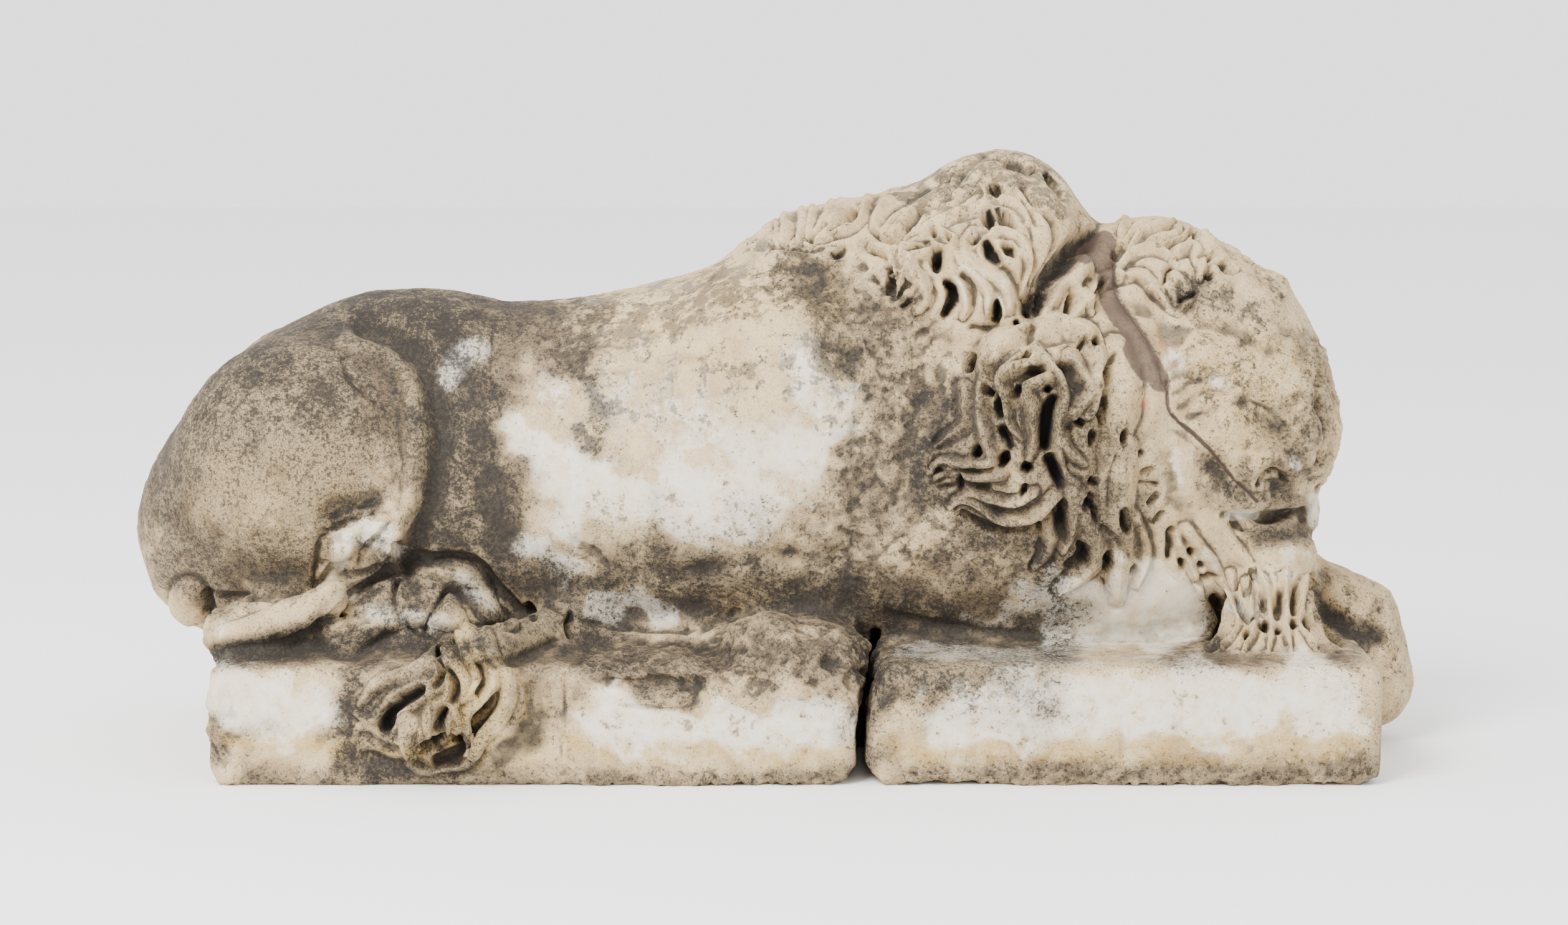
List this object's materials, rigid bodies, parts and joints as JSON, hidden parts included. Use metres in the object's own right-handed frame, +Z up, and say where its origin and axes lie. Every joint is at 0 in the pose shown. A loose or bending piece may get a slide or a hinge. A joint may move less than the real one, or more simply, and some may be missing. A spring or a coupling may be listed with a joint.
{
  "type": "marble lion sculpture",
  "caption": "Weathered marble lion lying on a block plinth, head bowed, forepaw over the end, tail tuft carved on the front face",
  "frame": {"origin": "middle of the plinth's underside", "axes": "+X from rump to head, +Y away from the side with the tail's tuft, +Z up"},
  "size_m": [1.0047, 0.398, 0.4688],
  "materials": {
    "weathered_marble": "weathered white marble, honey patina with grey-black crust in the hollows and bare white patches"
  },
  "bodies": {
    "root": {"lion": "weathered_marble"}
  },
  "joints": []
}
